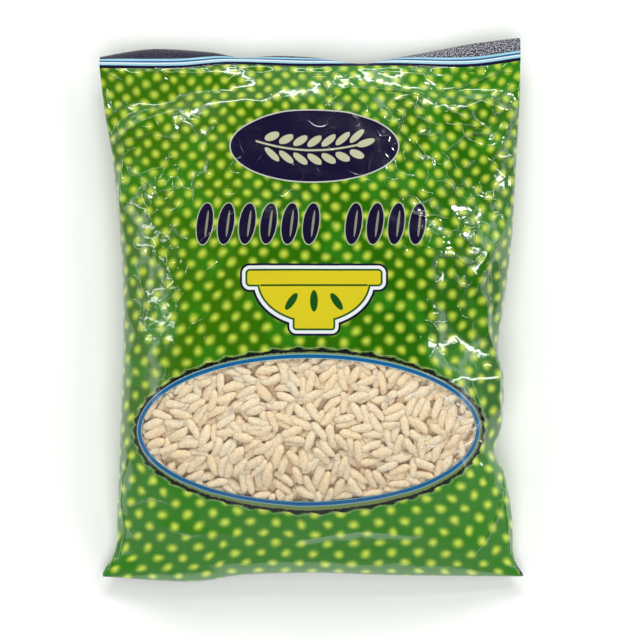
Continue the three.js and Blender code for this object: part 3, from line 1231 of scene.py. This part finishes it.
grain = {
    "length": 12.6,
    "width": 5.0,
    "thickness": 4.2,
    "spread": 0.13,
    "kinds": 9,
    "most": 800,
    "snugness": 0.7,              # how much closeness to neighbours counts against depth, in mm
    "deepest": 5.6,
    "core": 5.8,                  # the core's depth under the film
    "gap": 0.2,                   # kept between the film and a grain
    "tries": 28,
    "turns": 24,
    "tilt": 0.25,
    "past": 4,                    # how far past the window the grains lie
    "sunk": (0.8, 0.62),          # how much of a neighbour's width and thickness it keeps clear of
    "cell": 0.6,
    "seed": 12,
    "sides": 8,
    "sortAlong": Vector((1, 7, 50)),          # no two faces are level along it
    "bend": 0.3,                  # these three are the most that a kind has
    "twist": 0.6,
    "narrowing": 0.18,
    "bluntness": (2.9, 0.55),
    "groove": (0.16, 0.22),       # depth and width
    "ribs": (4, 0.05),
    "lumps": ((1.5, 0.3), (3.4, 0.26)),       # scale and height
    "slimness": 2.4,              # so that the lumps are as long as they are wide
}


def grainKind(index):
    # A long puffed grain: blunt ends, a slight bend, a groove and shallow ribs.
    draw = random.Random(100 + index)
    bm = bmesh.new()
    bmesh.ops.create_uvsphere(bm, u_segments=grain["sides"], v_segments=grain["sides"], radius=1.0)
    # the sphere's faces come in another order each run, so they are put in one
    bm.faces.sort(key=lambda face: face.calc_center_median().dot(grain["sortAlong"]))
    bend = draw.uniform(-grain["bend"], grain["bend"])
    grooveAt = draw.uniform(0, 2 * math.pi)
    twist = draw.uniform(-grain["twist"], grain["twist"])
    narrow = draw.uniform(-grain["narrowing"], grain["narrowing"])
    inner, outer = grain["bluntness"]
    grooveDepth, grooveWidth = grain["groove"]
    ribCount, ribHeight = grain["ribs"]
    for vert in bm.verts:
        t = vert.co.z
        roundness = math.sqrt(max(0.0, 1 - t * t))
        blunt = max(0.0, 1 - abs(t) ** inner) ** outer
        swell = blunt / roundness if roundness > 1e-6 else 0.0
        turn = math.atan2(vert.co.y, vert.co.x) + twist * t
        dip = math.exp(-(math.sin((turn - grooveAt) / 2) / grooveWidth) ** 2)
        ribs = 1 + ribHeight * math.cos(ribCount * turn) - grooveDepth * dip
        spot = Vector((vert.co.x, vert.co.y, t * grain["slimness"])) + Vector((index * 7, 0, 0))
        lump = 1 + sum(rise * noise.noise(spot * scale) for scale, rise in grain["lumps"])
        radius = swell * ribs * lump * (1 + narrow * t)
        vert.co.x *= radius
        vert.co.y *= radius
        vert.co.x += bend * (1 - 2 * t * t)
    return meshFrom(bm, "grain kind")


def footprint(turn, scale):
    # The cells that a lying grain covers, its half thickness over each and its place along
    # it, and the cells close round it.
    clearWidth, clearThickness = grain["sunk"]
    a = grain["length"] / 2 * scale * 0.93
    b = grain["width"] / 2 * scale * clearWidth
    reach = int(a / grain["cell"]) + 3
    i, j = np.meshgrid(np.arange(-reach, reach + 1), np.arange(-reach, reach + 1), indexing="ij")
    x, y = i * grain["cell"], j * grain["cell"]
    along = x * math.cos(turn) + y * math.sin(turn)
    side = y * math.cos(turn) - x * math.sin(turn)
    left = 1 - np.abs(along / a) ** 2.7 - (side / b) ** 2
    keep = left > 0
    close = ~keep & (np.abs(along / (a + 0.7)) ** 2.7 + (side / (b + 0.7)) ** 2 < 1)
    half = grain["thickness"] / 2 * scale * clearThickness * np.sqrt(left[keep])
    return i[keep], j[keep], half, along[keep], i[close], j[close]


def packGrains():
    # Each grain is pushed up against the film or the grains already there, at the best of
    # several places: high up, and snug against its neighbours. Depth is counted down from
    # the film.
    draw = random.Random(grain["seed"])
    cell, turns = grain["cell"], grain["turns"]
    reachX = window["halfWidth"] + 14
    reachY = window["halfHeight"] + 14
    taken = np.zeros((int(2 * reachX / cell), int(2 * reachY / cell)))
    sizes = (1 - grain["spread"], 1.0, 1 + grain["spread"])
    prints = {(k, s): footprint(math.pi * k / turns, s) for k in range(turns) for s in sizes}
    placed = []
    while len(placed) < grain["most"]:
        best = None
        for _ in range(grain["tries"]):
            x, y = draw.uniform(-1, 1), draw.uniform(-1, 1)
            if math.hypot(x, y) > 1:
                continue
            x *= window["halfWidth"] + grain["past"]
            y *= window["halfHeight"] + grain["past"]
            size = draw.choice(sizes)
            tilt = draw.uniform(-grain["tilt"], grain["tilt"])
            firstTurn = draw.randrange(3)
            column = int((x + reachX) / cell)
            row = int((y + reachY) / cell)
            for k in range(firstTurn, turns, 3):
                i, j, half, along, ringI, ringJ = prints[(k, size)]
                depth = float(np.max(taken[i + column, j + row] + half + tilt * along))
                cost = depth + abs(tilt) * 0.8
                if best is not None and cost - grain["snugness"] > best[0]:
                    continue
                touched = np.count_nonzero(taken[ringI + column, ringJ + row])
                cost -= grain["snugness"] * touched / len(ringI)
                if best is None or cost < best[0]:
                    best = (cost, depth, x, y, k, size, tilt)
        _, depth, x, y, k, size, tilt = best
        if depth > grain["deepest"]:
            break
        i, j, half, along, _, _ = prints[(k, size)]
        i = i + int((x + reachX) / cell)
        j = j + int((y + reachY) / cell)
        taken[i, j] = np.maximum(taken[i, j], depth + half - tilt * along)
        placed.append((x + window["x"], y + window["y"], math.pi * k / turns, size, tilt, depth))
    return placed


def filmHeight(x, y):
    return onNet(film["shaped"], *netPlace(x, y))[:, 2]


def grainPlace(turn, size, tilt, slope, roll):
    # A grain's stretch and turn, with its length in the film's slope.
    run = Vector((math.cos(turn), math.sin(turn), 0))
    run = (run - slope * run.dot(slope)).normalized()
    side = slope.cross(run)
    basis = Matrix((side, slope, run)).transposed()
    lean = Matrix.Rotation(math.atan(tilt), 3, side)
    stretch = Matrix.Diagonal((grain["width"] / 2 * size, grain["thickness"] / 2 * size,
                               grain["length"] / 2 * size))
    return np.array(lean @ basis @ stretch @ Matrix.Rotation(roll, 3, "Z"))


def makeRice(material):
    kinds = [grainKind(i) for i in range(grain["kinds"])]
    shapes = [np.array([v.co for v in kind.vertices]) for kind in kinds]
    draw = random.Random(grain["seed"] + 1)
    placed = packGrains()
    bm = bmesh.new()
    corners = []
    tones = []
    for x, y, turn, size, tilt, depth in placed:
        spots = filmHeight(np.array([x, x + 2, x - 2, x, x]), np.array([y, y, y, y + 2, y - 2]))
        slope = Vector((-(spots[1] - spots[2]) / 4, -(spots[3] - spots[4]) / 4, 1)).normalized()
        kind = draw.randrange(len(kinds))
        bm.from_mesh(kinds[kind])
        shape = shapes[kind] @ grainPlace(turn, size, tilt, slope, draw.uniform(0, 2 * math.pi)).T
        centre = spots[0] - depth / slope.z
        room = filmHeight(x + shape[:, 0], y + shape[:, 1]) - (centre + shape[:, 2])
        centre += min(0.0, float(room.min()) - grain["gap"])
        corners.append(shape + (x, y, centre))
        tones += [draw.random()] * len(shape)
    mesh = meshFrom(bm, "puffed_rice_grains")
    mesh.vertices.foreach_set("co", np.concatenate(corners).ravel() * mm)
    markPoints(mesh, "tone", tones)
    return addPiece("puffed_rice_grains", mesh, material), len(placed)


def makeCore(material):
    # The rice further in, under the grains that show.
    bm = bmesh.new()
    bmesh.ops.create_grid(bm, x_segments=60, y_segments=30, size=0.5)
    x = np.array([v.co.x for v in bm.verts]) * 2
    y = np.array([v.co.y for v in bm.verts]) * 2
    # a square made round, so that the sheet ends in an oval
    px = window["x"] + x * np.sqrt(1 - y * y / 2) * (window["halfWidth"] + 6)
    py = window["y"] + y * np.sqrt(1 - x * x / 2) * (window["halfHeight"] + 6)
    for vert, spot in zip(bm.verts, np.stack([px, py, filmHeight(px, py) - grain["core"]], axis=1)):
        vert.co = Vector(spot) * mm
    mesh = meshFrom(bm, "puffed_rice_core")
    markPoints(mesh, "tone", [0.0] * len(mesh.vertices))
    return addPiece("puffed_rice_core", mesh, material)


backSeals = {
    "film": 0.22,
    "lowest": 0.12,
    "fin": {"width": 13.0, "gap": 0.38, "from": -121, "to": 113},
    "fold": {"width": 12.0, "gap": 0.45, "left": 1.5, "right": 1.1, "narrowing": 0.25},
    "bandAt": 8,                  # where they are in the seal's stripes, past the last of them
}


def backPlace(x, y):
    # The back film's column and row at a place, as seen from above.
    share, middle, half = shareAt(x, y)
    side = np.arcsin(np.clip((x - middle) / half, -1, 1)) / (math.pi / 2) * net["back"] / 2
    return np.where(side < 0, -side, columns - side), rowOfShare(share)


def stripOnBack(name, xs, ys, printed, gap, material):
    # A strip of two films pressed against the back, thickened afterwards. xs and ys are
    # its points row by row, and printed is their place on the flat film.
    bm = bmesh.new()
    high, wide = xs.shape
    bmesh.ops.create_grid(bm, x_segments=wide - 1, y_segments=high - 1, size=0.5)
    order = [(round((v.co.y + 0.5) * (high - 1)), round((v.co.x + 0.5) * (wide - 1))) for v in bm.verts]
    j, i = np.array(order).T
    x, y = xs[j, i], ys[j, i]
    z = np.maximum(onNet(film["shaped"], *backPlace(x, y))[:, 2] - gap, backSeals["lowest"])
    for vert, spot in zip(bm.verts, np.stack([x, y, z], axis=1)):
        vert.co = Vector(spot) * mm
    bmesh.ops.reverse_faces(bm, faces=bm.faces)
    mesh = meshFrom(bm, name)
    addUv(mesh, "seen", np.stack([x, y], axis=1))
    addUv(mesh, "flat", np.stack(printed, axis=-1)[j, i])
    piece = addPiece(name, mesh, material)
    thick = piece.modifiers.new("two films", "SOLIDIFY")
    thick.thickness = backSeals["film"] * mm
    thick.offset = -1.0
    return piece


def makeFinSeal(material):
    fin = backSeals["fin"]
    half = fin["width"] / 2
    xs, ys = np.meshgrid(np.linspace(-half, half, 9), np.linspace(fin["from"], fin["to"], 150))
    return stripOnBack("fin_seal", xs, ys, (ys, backSeals["bandAt"] + xs), fin["gap"], material)


def makeBottomSeal(material):
    # Its right end looks out past the bag's corner.
    fold = backSeals["fold"]
    share, up = np.meshgrid(np.linspace(0, 1, 130), np.linspace(0.3, fold["width"], 12))
    height = bag["bottomEdge"][0][1] + up
    left = curveThrough(bag["leftEdge"], height) + fold["left"]
    right = curveThrough(bag["rightEdge"], height) + fold["right"] - fold["narrowing"] * up
    xs = left + share * (right - left)
    ys = curveThrough(bag["bottomEdge"], xs) + up
    return stripOnBack("bottom_seal", xs, ys, (xs, backSeals["bandAt"] + up), fold["gap"], material)


riceGrains, grainCount = makeRice(riceMaterial)
riceCore = makeCore(riceMaterial)
print("rice made,", grainCount, "grains,", len(riceGrains.data.polygons), "faces")

finSeal = makeFinSeal(sealMaterial)
bottomSeal = makeBottomSeal(sealMaterial)
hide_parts("pouch")
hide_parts("pouch")
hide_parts("pouch")
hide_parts("pouch")
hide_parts("pouch")
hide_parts("puffed_rice")
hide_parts("puffed_rice")
print("seals made")

studio = {
    "zenith": 0.015,              # the sky's brightness straight up
    "horizon": 0.3,               # and low down, where the steep film edges mirror it
    "ring": 1.5,                  # and of a bright ring round it, which the creases mirror
    "ringAt": (0.56, 0.1),        # the ring's height in the sky and half width
    "floor": {"Base Color": colour(248, 250, 247), "Roughness": 0.9},
    "floorSize": 6.0,
    # name: power, size, place, whether the film mirrors it. All are aimed at the bag.
    "lamps": {
        "overhead panel": (37.0, (2.0, 1.6), (0.0, -0.9, 2.3), False),
        "high softbox": (14.0, (1.2, 0.4), (0.0, 1.6, 1.12), False),
        "right strip": (2.6, (0.09, 0.9), (1.4, 0.2, 0.9), True),
        "left strip": (1.1, (0.06, 0.9), (-1.4, 0.3, 0.9), True),
        "low panel": (4.0, (3.2, 1.6), (0.0, -2.2, 1.3), False),
        "top strip": (4.2, (1.3, 0.1), (0.0, 1.5, 0.95), True),
        "sparkle right": (3.0, (0.17, 0.17), (0.95, 0.95, 1.12), True),
        "sparkle left": (1.2, (0.11, 0.11), (-0.95, 0.85, 1.08), True),
    },
}


def softSky(setup):
    # Bright low down and dim overhead.
    world = bpy.data.worlds.new("studio")
    world.use_nodes = True
    tree = world.node_tree
    _, forward, up = parts(addNode(tree, "TexCoord", "Generated", {}))
    at, half = setup["ringAt"]
    ring = ramp(abs(up - at), half, 0.0) * ramp(forward, -0.6, 0.1) * setup["ring"]
    glow = ramp(up, 0.9, 0.35) * (setup["horizon"] - setup["zenith"]) + setup["zenith"]
    back = tree.nodes["Background"]
    back.inputs["Color"].default_value = (1, 1, 1, 1)
    feed(back.inputs["Strength"], glow + ring)
    bpy.context.scene.world = world


def makeLamp(name, power, size, place, mirrored):
    data = bpy.data.lights.new(name, "AREA")
    data.shape = "RECTANGLE"
    data.size, data.size_y = size
    data.energy = power
    lamp = bpy.data.objects.new(name, data)
    lamp.location = place
    lamp.visible_glossy = mirrored
    lamp.rotation_euler = (-Vector(place)).to_track_quat("-Z", "Y").to_euler()
    bpy.context.scene.collection.objects.link(lamp)


def makeFloor(setup):
    bm = bmesh.new()
    bmesh.ops.create_grid(bm, x_segments=1, y_segments=1, size=setup["floorSize"])
    mesh = meshFrom(bm, "floor")
    mesh.materials.append(newMaterial("floor", setup["floor"])[0])
    floor = bpy.data.objects.new("floor", mesh)
    bpy.context.scene.collection.objects.link(floor)


softSky(studio)
for lampName, lampSetup in studio["lamps"].items():
    makeLamp(lampName, *lampSetup)
makeFloor(studio)
print("studio ready")
